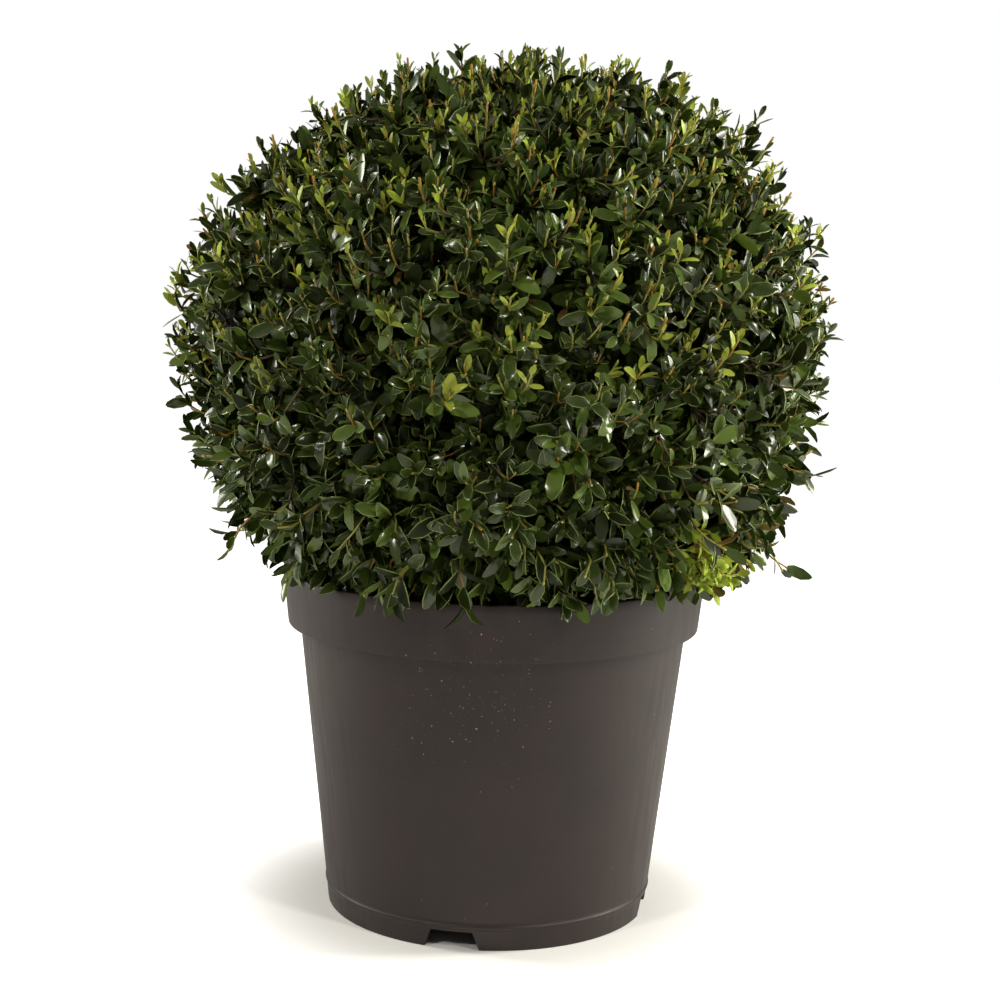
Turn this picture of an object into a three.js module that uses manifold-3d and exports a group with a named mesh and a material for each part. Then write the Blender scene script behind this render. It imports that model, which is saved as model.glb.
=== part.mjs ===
// A clipped box ball growing in its moulded nursery pot.
//
// Millimetres, +Z up. The origin is on the ground at the pot's axis, and the
// plant's front faces -Y. Everything stands on the flat underside of the pot's
// foot. The pot is a thin tapered wall with a stepped rim band, closed inside
// by a raised base with drain holes. The potting soil fills it, a short stem
// rises from the soil, and the clipped crown sits over the rim.

import * as THREE from "three";
import { mergeVertices } from "three/addons/utils/BufferGeometryUtils.js";
import Module from "manifold-3d";

const wasm = await Module();
wasm.setup();

// ---------------------------------------------------------------- sizes ---

const GAP = 0.3; // clearance between neighbouring pieces
const ROUND = 64; // sides of the pot's turned pieces
const UP = new THREE.Vector3(0, 0, 1);

// Pot
const POT_HEIGHT = 255;
const WALL = 2.5;
const WALL_FOOT_RADIUS = 120.6; // outside of the wall on the ground
const WALL_TOP_RADIUS = 144.2; // outside of the wall under the band
const BAND_BOTTOM = 214; // underside of the stepped rim band
const BAND_BOTTOM_RADIUS = 153.1;
const RIM_RADIUS = 157.5;
const EDGE = 1.1; // small rounding of the moulded edges
const RIDGE_HEIGHT = 17; // witness line round the wall at base level
const RIDGE_PROUD = 0.7;

// Foot ring and its drainage notches
const FOOT_HEIGHT = 14.7;
const FOOT_THICKNESS = 5;
const NOTCHES = 4;
const NOTCH_TURN = THREE.MathUtils.degToRad(-101.6); // first notch, from +X
const NOTCH_FOOT_WIDTH = 40;
const NOTCH_TOP_WIDTH = 30;
const NOTCH_HEIGHT = FOOT_HEIGHT - 1.2;
const NOTCH_REACH = 24; // radial length of the cut

// Raised base
const BASE_BOTTOM = FOOT_HEIGHT + GAP;
const BASE_TOP = BASE_BOTTOM + WALL;
const DRAINS = 8;
const DRAIN_RADIUS = 6;
const DRAIN_CIRCLE = 96;
const DRAIN_SIDES = 12;

// Potting soil
const SOIL_EDGE_HEIGHT = 230;
const SOIL_CENTRE_HEIGHT = 236;
const SOIL_FLAT_RADIUS = 30; // level patch that the stem stands on

// Stem: from its flat cut on the soil to its fork inside the crown
const STEM_FOOT = SOIL_CENTRE_HEIGHT + GAP;
const STEM_LENGTH = 96;
const STEM_FOOT_RADIUS = 11;
const STEM_FORK_RADIUS = 8;
const STEM_FLARE = 6; // extra radius where the roots leave
const STEM_FLARE_FADE = 12; // height over which the flare fades
const STEM_LEAN = new THREE.Vector2(7, 3); // sideways travel up to the fork
const STEM_ROOTS = 5;
const STEM_SIDES = 20;
const STEM_RINGS = 10;

// Crown: a ball that is fuller below its widest level than above it
const CROWN_CENTRE = 420;
const CROWN_RADIUS = 235;
const CROWN_RISE = 209; // from the widest level to the top
const CROWN_DROP = 186; // from the widest level to the lowest foliage
const CROWN_TOP_POWER = 2.2;
const CROWN_UNDER_POWER = 3;
const CROWN_WAIST = 15; // inward dip of the lower side
const CROWN_WAIST_REACH = 0.625; // how far down the dip goes, as a sine of the angle below level
const CROWN_SHIFT = 1.5; // sideways set of the whole ball
const CROWN_TOP_SHIFT = 24; // extra sideways set of the top and the underside
const CROWN_DETAIL = 14; // subdivision of the icosahedron

// Spray heads: the rounded ends of the clipped shoots that make it uneven
const HEADS = 190;
const HEAD_LOW = 7;
const HEAD_HIGH = 24;
const HEAD_SPREAD = 19;
const SWELLS = 7; // broad swells left by hand clipping
const SWELL_HEIGHT = 5;
const SWELL_SPREAD = 95;

// Clearance between the crown and the pot, cut out of the crown
const RIM_CLEARANCE = 2;
const CROWN_OVER_RIM = POT_HEIGHT + 1.2;
const CROWN_IN_MOUTH = SOIL_CENTRE_HEIGHT + 5;

// ------------------------------------------------------------ materials ---

const finish = (color, roughness) =>
  new THREE.MeshStandardMaterial({ color, roughness, metalness: 0 });

const MATERIALS = {
  polypropylene: finish("#4b433d", 0.55),
  soil: finish("#33271e", 0.95),
  bark: finish("#8a7a5e", 0.85),
  foliage: finish("#48682c", 0.6),
};

// -------------------------------------------------------------- helpers ---

// A closed geometry as a solid, turned right side out if need be.
function toSolid(geometry) {
  const bare = geometry.clone();
  bare.deleteAttribute("normal");
  bare.deleteAttribute("uv");
  const merged = mergeVertices(bare, 1e-4);
  const vertProperties = new Float32Array(merged.attributes.position.array);
  const triVerts = new Uint32Array(merged.index.array);
  if (signedVolume(vertProperties, triVerts) < 0) {
    for (let i = 0; i < triVerts.length; i += 3) {
      [triVerts[i], triVerts[i + 1]] = [triVerts[i + 1], triVerts[i]];
    }
  }
  const mesh = new wasm.Mesh({ numProp: 3, vertProperties, triVerts });
  mesh.merge();
  return new wasm.Manifold(mesh);
}

function signedVolume(positions, indices) {
  const [a, b, c] = [0, 1, 2].map(() => new THREE.Vector3());
  let sum = 0;
  for (let i = 0; i < indices.length; i += 3) {
    a.fromArray(positions, 3 * indices[i]);
    b.fromArray(positions, 3 * indices[i + 1]);
    c.fromArray(positions, 3 * indices[i + 2]);
    sum += a.dot(b.cross(c)) / 6;
  }
  return sum;
}

function toGeometry(solid) {
  const { vertProperties, triVerts } = solid.getMesh();
  const geometry = new THREE.BufferGeometry();
  geometry.setAttribute("position", new THREE.BufferAttribute(vertProperties, 3));
  geometry.setIndex(new THREE.BufferAttribute(triVerts, 1));
  geometry.computeVertexNormals();
  return geometry;
}

// Turns a closed profile of [radius, height] pairs round the Z axis.
function turned(profile, sides) {
  const points = profile.map(([radius, height]) => new THREE.Vector2(radius, height));
  const geometry = new THREE.LatheGeometry(points, sides);
  geometry.rotateX(Math.PI / 2);
  return toSolid(geometry);
}

// A closed body from rings of points: pointAt(ring, turn) gives each place,
// with both end rings closed by a fan from their middles.
function ringed(rings, sides, pointAt) {
  const positions = [];
  const indices = [];
  for (let ring = 0; ring <= rings; ring++) {
    for (let side = 0; side < sides; side++) {
      positions.push(...pointAt(ring / rings, (2 * Math.PI * side) / sides).toArray());
    }
  }
  for (let ring = 0; ring < rings; ring++) {
    for (let side = 0; side < sides; side++) {
      const next = (side + 1) % sides;
      const low = ring * sides;
      const high = low + sides;
      indices.push(low + side, low + next, high + next);
      indices.push(low + side, high + next, high + side);
    }
  }
  for (const ring of [0, rings]) {
    const middle = positions.length / 3;
    const centre = new THREE.Vector3();
    for (let side = 0; side < sides; side++) {
      centre.add(new THREE.Vector3().fromArray(positions, 3 * (ring * sides + side)));
    }
    positions.push(...centre.divideScalar(sides).toArray());
    for (let side = 0; side < sides; side++) {
      const pair = [ring * sides + side, ring * sides + ((side + 1) % sides)];
      indices.push(middle, ...(ring === 0 ? pair.reverse() : pair));
    }
  }
  const geometry = new THREE.BufferGeometry();
  geometry.setAttribute("position", new THREE.Float32BufferAttribute(positions, 3));
  geometry.setIndex(indices);
  return toSolid(geometry);
}

// A repeatable number from 0 to 1 for each whole number.
function scatter(index, salt) {
  const wave = Math.sin(index * 12.9898 + salt * 78.233) * 43758.5453;
  return wave - Math.floor(wave);
}

// Directions spread evenly over a sphere along a golden-angle spiral.
function spreadDirection(index, count) {
  const height = 1 - (2 * index + 1) / count;
  const turn = index * Math.PI * (3 - Math.sqrt(5));
  const reach = Math.sqrt(1 - height * height);
  return new THREE.Vector3(reach * Math.cos(turn), reach * Math.sin(turn), height);
}

const radial = (turn) => new THREE.Vector3(Math.cos(turn), Math.sin(turn), 0);

// ------------------------------------------------------------------ pot ---

// Outside radius of the tapered wall, and of the rim band, at a height.
const wallRadius = (height) =>
  THREE.MathUtils.mapLinear(height, 0, BAND_BOTTOM, WALL_FOOT_RADIUS, WALL_TOP_RADIUS);
const bandRadius = (height) =>
  THREE.MathUtils.mapLinear(height, BAND_BOTTOM, POT_HEIGHT, BAND_BOTTOM_RADIUS, RIM_RADIUS);

function notchCutter(turn) {
  const spread = (NOTCH_FOOT_WIDTH - NOTCH_TOP_WIDTH) / 2 / NOTCH_HEIGHT;
  const below = NOTCH_HEIGHT / 3;
  const footHalf = NOTCH_FOOT_WIDTH / 2 + spread * below;
  const topHalf = NOTCH_TOP_WIDTH / 2;
  const outline = new THREE.Shape([
    new THREE.Vector2(-footHalf, -below),
    new THREE.Vector2(footHalf, -below),
    new THREE.Vector2(topHalf, NOTCH_HEIGHT),
    new THREE.Vector2(-topHalf, NOTCH_HEIGHT),
  ]);
  const cutter = new THREE.ExtrudeGeometry(outline, {
    depth: NOTCH_REACH,
    bevelEnabled: false,
  });
  const outward = radial(turn);
  const across = UP.clone().cross(outward);
  const place = new THREE.Matrix4().makeBasis(across, UP, outward);
  place.setPosition(outward.multiplyScalar(WALL_FOOT_RADIUS - NOTCH_REACH / 2));
  return toSolid(cutter.applyMatrix4(place));
}

function potWall() {
  const ledge = BAND_BOTTOM + WALL;
  const footInside = WALL_FOOT_RADIUS - FOOT_THICKNESS;
  const profile = [
    [footInside, 0],
    [WALL_FOOT_RADIUS - EDGE, 0],
    [wallRadius(EDGE), EDGE],
    [wallRadius(RIDGE_HEIGHT - EDGE), RIDGE_HEIGHT - EDGE],
    [wallRadius(RIDGE_HEIGHT) + RIDGE_PROUD, RIDGE_HEIGHT],
    [wallRadius(RIDGE_HEIGHT + EDGE), RIDGE_HEIGHT + EDGE],
    [wallRadius(BAND_BOTTOM), BAND_BOTTOM],
    [BAND_BOTTOM_RADIUS - EDGE, BAND_BOTTOM],
    [bandRadius(BAND_BOTTOM + EDGE), BAND_BOTTOM + EDGE],
    [bandRadius(POT_HEIGHT - EDGE), POT_HEIGHT - EDGE],
    [RIM_RADIUS - EDGE, POT_HEIGHT],
    [RIM_RADIUS - WALL, POT_HEIGHT],
    [bandRadius(ledge) - WALL, ledge],
    [wallRadius(ledge) - WALL, ledge],
    [wallRadius(FOOT_HEIGHT) - WALL, FOOT_HEIGHT],
    [footInside, FOOT_HEIGHT],
    [footInside, 0],
  ];
  let wall = turned(profile, ROUND);
  for (let i = 0; i < NOTCHES; i++) {
    wall = wall.subtract(notchCutter(NOTCH_TURN + (2 * Math.PI * i) / NOTCHES));
  }
  return toGeometry(wall);
}

function potBase() {
  const edge = (height) => wallRadius(height) - WALL - GAP;
  let base = turned(
    [
      [0, BASE_BOTTOM],
      [edge(BASE_BOTTOM), BASE_BOTTOM],
      [edge(BASE_TOP), BASE_TOP],
      [0, BASE_TOP],
    ],
    ROUND,
  );
  for (let i = 0; i < DRAINS; i++) {
    const drain = new THREE.CylinderGeometry(DRAIN_RADIUS, DRAIN_RADIUS, 4 * WALL, DRAIN_SIDES);
    drain.rotateX(Math.PI / 2);
    const place = radial(NOTCH_TURN + (2 * Math.PI * (i + 0.5)) / DRAINS);
    place.multiplyScalar(DRAIN_CIRCLE);
    drain.translate(place.x, place.y, BASE_TOP);
    base = base.subtract(toSolid(drain));
  }
  return toGeometry(base);
}

function pottingSoil() {
  const floor = BASE_TOP + GAP;
  const ledge = BAND_BOTTOM + WALL + GAP;
  const inWall = (height) => wallRadius(height) - WALL - GAP;
  const inBand = (height) => bandRadius(height) - WALL - GAP;
  const profile = [
    [0, floor],
    [inWall(floor), floor],
    [inWall(ledge), ledge],
    [inBand(ledge), ledge],
    [inBand(SOIL_EDGE_HEIGHT), SOIL_EDGE_HEIGHT],
    [SOIL_FLAT_RADIUS, SOIL_CENTRE_HEIGHT],
    [0, SOIL_CENTRE_HEIGHT],
  ];
  return toGeometry(turned(profile, ROUND));
}

// ---------------------------------------------------------------- plant ---

// The stem's surface at a share of its length and a turn round it: a taper
// with a lobed root flare that fades upwards. A margin widens and lengthens it.
function stemPoint(share, turn, margin) {
  const height = share * (STEM_LENGTH + margin);
  const taper = THREE.MathUtils.lerp(STEM_FOOT_RADIUS, STEM_FORK_RADIUS, share);
  const lobes = 0.75 + 0.25 * Math.cos(STEM_ROOTS * turn);
  const flare = STEM_FLARE * lobes * Math.exp(-height / STEM_FLARE_FADE);
  const point = radial(turn).multiplyScalar(taper + flare + margin);
  point.x += STEM_LEAN.x * share * share;
  point.y += STEM_LEAN.y * share * share;
  point.z = STEM_FOOT + height;
  return point;
}

const stemSolid = (margin) =>
  ringed(STEM_RINGS, STEM_SIDES, (share, turn) => stemPoint(share, turn, margin));

// Distance from the crown's centre to its outline along a direction: half a
// superellipse above the widest level, and a squarer half below it.
function outlineReach(direction) {
  const flat = Math.hypot(direction.x, direction.y);
  const above = direction.z >= 0;
  const power = above ? CROWN_TOP_POWER : CROWN_UNDER_POWER;
  const half = above ? CROWN_RISE : CROWN_DROP;
  const sum = (flat / CROWN_RADIUS) ** power + (Math.abs(direction.z) / half) ** power;
  const waistShare = THREE.MathUtils.clamp(-direction.z / CROWN_WAIST_REACH, 0, 1);
  return sum ** (-1 / power) - CROWN_WAIST * Math.sin(Math.PI * waistShare);
}

// Rounded bumps on the crown, each a bell curve about its own direction.
function bumps(count, spread, heightOf) {
  return Array.from({ length: count }, (_, i) => ({
    direction: spreadDirection(i, count),
    height: heightOf(i),
    spread: spread / CROWN_RADIUS,
  }));
}

const CROWN_BUMPS = [
  ...bumps(HEADS, HEAD_SPREAD, (i) => THREE.MathUtils.lerp(HEAD_LOW, HEAD_HIGH, scatter(i, 1))),
  ...bumps(SWELLS, SWELL_SPREAD, (i) => SWELL_HEIGHT * (2 * scatter(i, 2) - 1)),
];

function bumpHeight(direction) {
  return CROWN_BUMPS.reduce((sum, bump) => {
    const apart = direction.angleTo(bump.direction) / bump.spread;
    return sum + bump.height * Math.exp(-apart * apart / 2);
  }, 0);
}

function crownPoint(direction) {
  const point = direction.clone();
  point.multiplyScalar(outlineReach(direction) + bumpHeight(direction));
  const level = point.z / CROWN_RISE;
  point.x += CROWN_SHIFT + CROWN_TOP_SHIFT * level * level;
  point.z += CROWN_CENTRE;
  return point;
}

// The room that the pot, the soil and the stem take out of the crown.
function potClearance() {
  const outside = RIM_RADIUS + RIM_CLEARANCE;
  const inside = RIM_RADIUS - WALL - RIM_CLEARANCE;
  const profile = [
    [0, 0],
    [outside, 0],
    [outside, CROWN_OVER_RIM],
    [inside, CROWN_OVER_RIM],
    [bandRadius(CROWN_IN_MOUTH) - WALL - RIM_CLEARANCE, CROWN_IN_MOUTH],
    [0, CROWN_IN_MOUTH],
  ];
  return turned(profile, ROUND);
}

function crown() {
  const geometry = new THREE.IcosahedronGeometry(1, CROWN_DETAIL);
  const positions = geometry.attributes.position;
  const direction = new THREE.Vector3();
  for (let i = 0; i < positions.count; i++) {
    direction.fromBufferAttribute(positions, i).normalize();
    positions.setXYZ(i, ...crownPoint(direction).toArray());
  }
  const ball = toSolid(geometry).subtract(potClearance());
  return toGeometry(ball.subtract(stemSolid(2 * GAP)));
}

// ------------------------------------------------------------- assembly ---

const plant = new THREE.Group();

function addNode(name, geometry, material) {
  const mesh = new THREE.Mesh(geometry, material);
  mesh.name = name;
  plant.add(mesh);
}

addNode("pot_wall", potWall(), MATERIALS.polypropylene);
addNode("pot_base", potBase(), MATERIALS.polypropylene);
addNode("potting_soil", pottingSoil(), MATERIALS.soil);
addNode("main_stem", toGeometry(stemSolid(0)), MATERIALS.bark);
addNode("crown", crown(), MATERIALS.foliage);

export default plant;
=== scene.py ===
"""A clipped box ball in its nursery pot: the fine visual model round the packed frame.

Every shape is worked out as whole numpy arrays in metres, +Z up, with the
origin on the ground at the pot's axis and the plant's front facing -Y. The
limbs, twigs and leaves grow from the stem's fork by a seeded branching rule
and end at the crown's outline, which is read from the frame.
"""
import functools
import math

import bpy
import numpy as np
from mathutils import Matrix, Vector
from mathutils.bvhtree import BVHTree


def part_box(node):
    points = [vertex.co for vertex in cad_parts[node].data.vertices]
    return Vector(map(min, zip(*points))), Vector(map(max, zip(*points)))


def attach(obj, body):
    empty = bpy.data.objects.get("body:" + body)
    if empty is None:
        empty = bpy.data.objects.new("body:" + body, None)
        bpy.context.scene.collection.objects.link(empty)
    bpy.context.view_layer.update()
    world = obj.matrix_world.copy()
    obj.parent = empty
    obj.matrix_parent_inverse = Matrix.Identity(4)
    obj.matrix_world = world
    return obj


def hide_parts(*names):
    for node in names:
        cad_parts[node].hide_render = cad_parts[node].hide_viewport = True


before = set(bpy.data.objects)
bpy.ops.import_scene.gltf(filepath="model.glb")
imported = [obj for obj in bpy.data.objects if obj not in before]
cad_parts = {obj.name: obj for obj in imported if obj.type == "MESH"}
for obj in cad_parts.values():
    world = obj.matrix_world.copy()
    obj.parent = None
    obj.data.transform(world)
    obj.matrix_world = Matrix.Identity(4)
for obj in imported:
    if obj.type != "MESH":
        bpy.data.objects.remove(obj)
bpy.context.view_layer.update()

bl_info = {
    "name": "Box topiary ball",
    "version": (1, 0, 0),
    "blender": (4, 5, 0),
    "location": "3D View > Sidebar > Box Ball",
    "description": "Builds a potted box topiary ball: pot, soil, limbs, twigs and leaves",
    "category": "Object",
}

MM = 0.001
BODY = "root"

WALL_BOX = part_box("pot_wall")
SOIL_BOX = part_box("potting_soil")
STEM_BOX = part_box("main_stem")
CROWN_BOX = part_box("crown")
POT_HEIGHT = WALL_BOX[1][2]
RIM_RADIUS = WALL_BOX[1][0]
QUARTER = math.pi / 2

# The pot's mouldings: the low ridge above the foot, and the drainage notches
RIDGE_MIDDLE = 17 * MM
RIDGE_HALF_HEIGHT = 1.4 * MM
RIDGE_REACH = 0.7 * MM
NOTCH_HALF_WIDTH = 20 * MM  # on the ground
NOTCH_SIDE_WIDTH = 5 * MM  # how far each side leans in on its way up
NOTCH_HEIGHT = 13.5 * MM
FLECKED_SPOT = (-0.008, -0.142, 0.185)  # middle of the dried flecks, on the front


# ------------------------------------------------------------- numbers ---


def linear(hex_colour):
    """An sRGB hex value as linear red, green, blue and alpha."""
    value = hex_colour.lstrip("#")
    channels = [int(value[i : i + 2], 16) / 255 for i in (0, 2, 4)]
    return tuple(
        c / 12.92 if c <= 0.04045 else ((c + 0.055) / 1.055) ** 2.4 for c in channels
    ) + (1.0,)


def unit(vectors):
    """Each vector over its own length."""
    return vectors / np.maximum(np.linalg.norm(vectors, axis=-1, keepdims=True), 1e-12)


def dot(a, b):
    """The dot product along the last axis, kept as a column."""
    return np.sum(a * b, axis=-1, keepdims=True)


def mix(a, b, share):
    """A value from a to b by share."""
    return a + (b - a) * share


def smooth_step(low, high, value):
    """A soft ramp from 0 to 1: three t squared less two t cubed."""
    t = np.clip((value - low) / (high - low), 0, 1)
    return t * t * (3 - 2 * t)


def graded(level, low, high, at_low, at_high):
    """A value that goes softly from at_low to at_high as level goes from low to high."""
    return mix(at_low, at_high, smooth_step(low, high, level))


def spiral_directions(count, rng, jitter):
    """Even directions over a sphere: heights go down in equal steps while the
    turn grows by the golden angle, and each is then nudged at random."""
    index = np.arange(count)
    height = 1 - (2 * index + 1) / count
    turn = index * math.pi * (3 - math.sqrt(5))
    reach = np.sqrt(1 - height**2)
    even = np.stack([reach * np.cos(turn), reach * np.sin(turn), height], axis=1)
    spacing = math.sqrt(4 * math.pi / count)
    return unit(even + rng.normal(0, jitter * spacing, even.shape))


def ripple(points, wavelength, seed, waves=9):
    """Smooth unevenness from about -1 to 1: the mean of sine waves that cross
    the place in random directions, each with a length near the wavelength."""
    rng = np.random.default_rng(seed)
    directions = unit(rng.normal(size=(waves, 3)))
    lengths = wavelength * rng.uniform(0.7, 1.4, waves)
    phases = rng.uniform(0, 2 * math.pi, waves)
    return np.sin(points @ (directions.T * 2 * math.pi / lengths) + phases).mean(axis=-1) * 2


# -------------------------------------------------------------- meshes ---


def grid_triangles(rows, columns, wrap_rows=False, wrap_columns=False):
    """Two triangles for each cell of a rows by columns grid of points."""
    row = np.arange(rows if wrap_rows else rows - 1)[:, None]
    column = np.arange(columns if wrap_columns else columns - 1)[None, :]
    next_row = (row + 1) % rows
    next_column = (column + 1) % columns
    a = row * columns + column
    b = row * columns + next_column
    c = next_row * columns + next_column
    d = next_row * columns + column
    return np.stack([a, b, c, a, c, d], axis=-1).reshape(-1, 3)


def capped_triangles(rows, columns, wrap=True):
    """A grid's triangles, with a fan that closes its first row on one more point
    and its last row on another. Those two points follow the grid's own."""
    side = np.arange(columns if wrap else columns - 1)
    after = (side + 1) % columns
    last = rows * columns
    end = last - columns
    base_fan = np.stack([np.full(len(side), last), after, side], axis=1)
    tip_fan = np.stack([np.full(len(side), last + 1), end + side, end + after], axis=1)
    return np.concatenate([grid_triangles(rows, columns, wrap_columns=wrap), base_fan, tip_fan])


def copy_triangles(triangles, points_each, copies):
    """One shape's triangles for each of its copies, whose points come in turn."""
    offsets = points_each * np.arange(copies)
    return (triangles[None] + offsets[:, None, None]).reshape(-1, 3)


def turned(radius, turn, height):
    """Points at each radius, turn about Z and height."""
    parts = np.broadcast_arrays(radius * np.cos(turn), radius * np.sin(turn), height)
    return np.stack(parts, axis=-1)


def add_object(name, data):
    """A new object in the scene."""
    thing = bpy.data.objects.new(name, data)
    bpy.context.scene.collection.objects.link(thing)
    return thing


def add_mesh(name, points, triangles, materials, material_index=None):
    """A smooth mesh object at the origin from arrays of points and triangles."""
    mesh = bpy.data.meshes.new(name)
    mesh.from_pydata(np.ascontiguousarray(points), [], np.ascontiguousarray(triangles))
    for material in materials:
        mesh.materials.append(material)
    if material_index is not None:
        mesh.polygons.foreach_set("material_index", material_index.astype(np.int32))
    mesh.polygons.foreach_set("use_smooth", np.ones(len(triangles), bool))
    mesh.update()
    return add_object(name, mesh)


def add_piece(name, shape, materials, replaced=(), material_index=None):
    """A mesh piece of a shape's points and triangles, tied to the body, with the CAD nodes that it
    stands for hidden."""
    piece = add_mesh(name, *shape, materials, material_index)
    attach(piece, BODY)
    if replaced:
        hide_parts(*replaced)


def bezier(p0, p1, p2, p3, t):
    """Points of cubic Bezier curves, one row of t for each curve."""
    p0, p1, p2, p3 = (p[:, None, :] for p in (p0, p1, p2, p3))
    t = t[..., None]
    s = 1 - t
    return s**3 * p0 + 3 * s**2 * t * p1 + 3 * s * t**2 * p2 + t**3 * p3


def bezier_slope(p0, p1, p2, p3, t):
    """Unit tangents of cubic Bezier curves, one row of t for each curve."""
    p0, p1, p2, p3 = (p[:, None, :] for p in (p0, p1, p2, p3))
    t = t[..., None]
    s = 1 - t
    return unit(3 * s**2 * (p1 - p0) + 6 * s * t * (p2 - p1) + 3 * t**2 * (p3 - p2))


def across_vectors(tangents):
    """Two unit vectors across each tangent, turning as little as they can
    along each curve: both come from one fixed vector square to its middle."""
    middle = tangents[:, tangents.shape[1] // 2]
    axis = np.where(np.abs(middle[:, 2:3]) > 0.8, [[1.0, 0.0, 0.0]], [[0.0, 0.0, 1.0]])
    fixed = unit(np.cross(middle, axis))[:, None, :]
    first = unit(fixed - dot(fixed, tangents) * tangents)
    return first, np.cross(tangents, first)


def tube_mesh(points, tangents, radii, sides, relief=None):
    """Closed tubes along many curves of the same number of points: a circle of
    the local radius square to the curve at each point, and a fan at each end.
    points is curves x stations x 3, and relief adds to each ring point's radius."""
    curves, stations, _ = points.shape
    first, second = across_vectors(tangents)
    turn = 2 * math.pi * np.arange(sides) / sides
    ring = first[:, :, None] * np.cos(turn)[:, None] + second[:, :, None] * np.sin(turn)[:, None]
    reach = radii[:, :, None, None]
    if relief is not None:
        reach = reach * (1 + relief(points[:, :, None, :] + ring * reach)[..., None])
    surface = points[:, :, None, :] + ring * reach
    body = np.concatenate(
        [surface.reshape(curves, stations * sides, 3), points[:, :1], points[:, -1:]], axis=1
    )
    one = capped_triangles(stations, sides)
    return body.reshape(-1, 3), copy_triangles(one, body.shape[1], curves)


# ----------------------------------------------------------- materials ---


def new_material(name):
    """An empty node material with a Principled shader and its output."""
    material = bpy.data.materials.new(name)
    material.use_nodes = True
    material.node_tree.nodes.clear()
    shader = add_node(material, "ShaderNodeBsdfPrincipled")
    add_node(material, "ShaderNodeOutputMaterial", Surface=shader.outputs["BSDF"])
    return material, shader


def set_stops(elements, stops):
    """Gives a colour ramp its (place, colour) stops."""
    while len(elements) < len(stops):
        elements.new(0.5)
    for element, (place, colour) in zip(elements, stops):
        element.position = place
        element.color = colour


def set_sockets(owner, node, **sockets):
    """Gives each socket a value or another node's output. A socket's spaces are
    written as underscores, or it is named by i and its number."""
    for key, value in sockets.items():
        numbered = key[0] == "i" and key[1:].isdigit()
        socket = node.inputs[int(key[1:]) if numbered else key.replace("_", " ")]
        if isinstance(value, bpy.types.NodeSocket):
            owner.node_tree.links.new(value, socket)
        else:
            socket.default_value = value


def add_node(owner, kind, settings=None, **sockets):
    """One node of a material or a world, with its settings, values and links.
    A colour ramp's stops are one of its settings."""
    node = owner.node_tree.nodes.new(kind)
    for key, value in (settings or {}).items():
        if key == "stops":
            set_stops(node.color_ramp.elements, value)
        else:
            setattr(node, key, value)
    set_sockets(owner, node, **sockets)
    return node


def leaf_material(name, colour, roughness, coat, coat_roughness=0.2):
    """A box leaf's skin. The waxy cuticle is a thin clear coat that gives small
    white glints, over soft flesh of one plain green with little gloss of its
    own: leaves differ by being dealt different materials, spray by spray."""
    material, shader = new_material(name)
    set_sockets(
        material, shader, Base_Color=colour, Roughness=roughness, IOR=1.45,
        Specular_IOR_Level=0.12, Coat_Weight=coat, Coat_Roughness=coat_roughness,
    )
    return material


def twig_material(name, colour, roughness):
    """Young box bark: plain, a little waxy when green and dull when woody."""
    material, shader = new_material(name)
    set_sockets(material, shader, Base_Color=colour, Roughness=roughness)
    return material


@functools.lru_cache(maxsize=None)
def polypropylene():
    """Injection-moulded black-brown recycled polypropylene. The mould gives a satin skin with a
    faint orange peel, stretched drag marks where the pot left the mould, cloudy darker and paler
    areas, and a scatter of dried compost. A thin dark line of painted shade stands for the shadow
    under the rim band."""
    pot = bpy.context.scene.box_ball_pot
    material, shader = new_material("satin_moulded_polypropylene")
    place = add_node(material, "ShaderNodeTexCoord").outputs["Object"]
    drag_scale = (1 / (6 * MM), 1 / (6 * MM), 1 / (140 * MM))
    drag_place = add_node(material, "ShaderNodeMapping", Vector=place, Scale=drag_scale)
    drag = add_node(
        material, "ShaderNodeTexNoise", Vector=drag_place.outputs["Vector"],
        Scale=1.0, Detail=3.0, Roughness=0.6,
    ).outputs["Fac"]
    cloud = add_node(
        material, "ShaderNodeTexNoise", Vector=place,
        Scale=1 / (70 * MM), Detail=4.0, Roughness=0.55,
    ).outputs["Fac"]
    blend = add_node(
        material, "ShaderNodeMix", {"data_type": "FLOAT"}, i0=0.4, i2=cloud, i3=drag
    ).outputs[0]
    grain = add_node(
        material, "ShaderNodeTexNoise", Vector=place,
        Scale=1 / (1.6 * MM), Detail=3.0, Roughness=0.7,
    ).outputs["Fac"]
    blend = add_node(
        material, "ShaderNodeMix", {"data_type": "FLOAT"}, i0=0.35, i2=blend, i3=grain
    ).outputs[0]
    skin_stops = [(0.35, pot.dark_plastic[:]), (0.65, pot.pale_plastic[:])]
    skin = add_node(material, "ShaderNodeValToRGB", {"stops": skin_stops}, Fac=blend)
    # Painted shade: a near-black line on the wall just under the rim band, standing for the band's
    # shadow.
    painted_shade = under_band_painted_shade(material, place, pot)
    skin = add_node(
        material, "ShaderNodeMix", {"data_type": "RGBA"},
        i0=painted_shade, i6=skin.outputs["Color"], i7=linear("#0A0807"),
    ).outputs[2]
    flecks = compost_flecks(material, place)
    colour = add_node(
        material, "ShaderNodeMix", {"data_type": "RGBA"},
        i0=flecks, i6=skin, i7=pot.fleck_colour[:],
    ).outputs[2]
    rough = add_node(
        material, "ShaderNodeMapRange", Value=drag, From_Min=0.3, From_Max=0.7,
        To_Min=pot.roughness - 0.05, To_Max=pot.roughness + 0.07,
    ).outputs["Result"]
    peel = add_node(
        material, "ShaderNodeTexNoise", Vector=place, Scale=1 / (0.9 * MM), Detail=2.0
    ).outputs["Fac"]
    peel_bump = add_node(
        material, "ShaderNodeBump", Strength=0.12, Distance=0.15 * MM, Height=peel
    ).outputs["Normal"]
    fleck_bump = add_node(
        material, "ShaderNodeBump", Strength=0.7, Distance=0.3 * MM, Height=flecks,
        Normal=peel_bump,
    ).outputs["Normal"]
    set_sockets(
        material, shader, Base_Color=colour, Roughness=rough, IOR=1.49, Normal=fleck_bump
    )
    return material


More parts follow.
